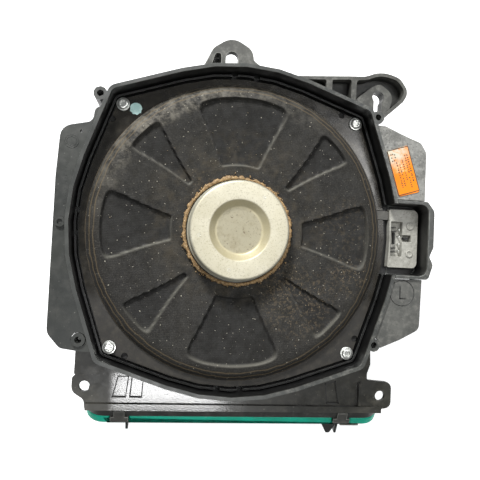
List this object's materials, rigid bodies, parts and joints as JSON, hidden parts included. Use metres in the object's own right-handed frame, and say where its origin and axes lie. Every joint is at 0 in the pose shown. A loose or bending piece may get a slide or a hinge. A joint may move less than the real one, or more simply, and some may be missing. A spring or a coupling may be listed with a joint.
{
  "type": "car subwoofer speaker",
  "caption": "Under-seat car subwoofer: inverted woofer under a black acoustic cloth in a shallow plastic housing with a sealed side port, plug bay and mounting ears.",
  "frame": {"origin": "on the driver's axis, in the flat rear face of the housing", "axes": "+Z out of the motor side, along the driver's axis; -Y towards the port and its green seal; +X towards the connector bay"},
  "size_m": [0.273, 0.2974, 0.084],
  "materials": {
    "housing_plastic": "black moulded polypropylene, satin with grey scuffs",
    "panel_plastic": "grey moulded plastic, matte",
    "seal_green": "green rubber, satin",
    "foam_dark": "closed-cell foam, matte",
    "basket_steel": "black electro-coated steel, dusty",
    "acoustic_cloth": "black woven acoustic cloth, matte",
    "glue_brown": "aged foamed glue, rough",
    "zinc_steel": "yellow-passivated zinc plate, satin with rust specks",
    "magnet_plate": "nickel plate, satin",
    "screw_steel": "zinc plate, bright",
    "label_orange": null,
    "paint_mint": "dabbed marking paint, satin",
    "cone_paper": "black pressed pulp, matte",
    "surround_rubber": "black butyl rubber, satin",
    "spider_cloth": "resin-stiffened cotton, matte",
    "former_aluminium": "thin aluminium foil, satin",
    "copper_wire": "enamelled copper, glossy",
    "lead_red": "red PVC insulation, satin",
    "lead_black": "black PVC insulation, satin"
  },
  "bodies": {
    "housing": {"front_frame": "housing_plastic", "left_wing": "housing_plastic", "right_upper_plate": "housing_plastic", "right_lower_plate": "housing_plastic", "connector_bay": "housing_plastic", "top_lug": "housing_plastic", "corner_bracket": "housing_plastic", "apron": "housing_plastic", "rear_shell": "housing_plastic", "port_duct": "housing_plastic", "seal_clip_1": "housing_plastic", "seal_clip_2": "housing_plastic", "guide_pin_left": "housing_plastic", "guide_pin_right": "housing_plastic", "guide_fin": "housing_plastic", "shell_screw_1": "screw_steel", "shell_screw_2": "screw_steel", "shell_screw_3": "screw_steel", "shell_screw_4": "screw_steel", "driver_screw_1": "screw_steel", "driver_screw_2": "screw_steel", "driver_screw_3": "screw_steel", "driver_screw_4": "screw_steel", "spring_plate": "screw_steel", "contact_pin_1": "screw_steel", "contact_pin_2": "screw_steel", "contact_pin_3": "screw_steel", "contact_pin_4": "screw_steel", "terminal_post_black": "screw_steel", "terminal_post_red": "screw_steel", "port_seal": "seal_green", "flange_gasket": "foam_dark", "basket": "basket_steel", "basket_cloth": "acoustic_cloth", "glue_ring": "glue_brown", "magnet_cup": "zinc_steel", "magnet": "magnet_plate", "pole_plate": "magnet_plate", "connector_panel": "panel_plastic", "heat_stake_1": "panel_plastic", "heat_stake_2": "panel_plastic", "terminal_strip": "panel_plastic", "label": "label_orange", "paint_mark": "paint_mint", "tinsel_lead_black": "copper_wire", "tinsel_lead_red": "copper_wire", "surround": "surround_rubber", "spider": "spider_cloth", "lead_wire_red": "lead_red", "lead_wire_black": "lead_black"},
    "cone_assembly": {"cone": "cone_paper", "dust_cap": "cone_paper", "coil_former": "former_aluminium", "voice_coil": "copper_wire"}
  },
  "joints": [
    {"name": "cone_slide", "type": "slide", "parent": "housing", "child": "cone_assembly", "axis": [0, 0, 1], "range_m": [-0.005, 0.005], "stiffness_N_per_m": 3000, "deforming": ["surround", "spider", "tinsel_lead_black", "tinsel_lead_red"]}
  ]
}
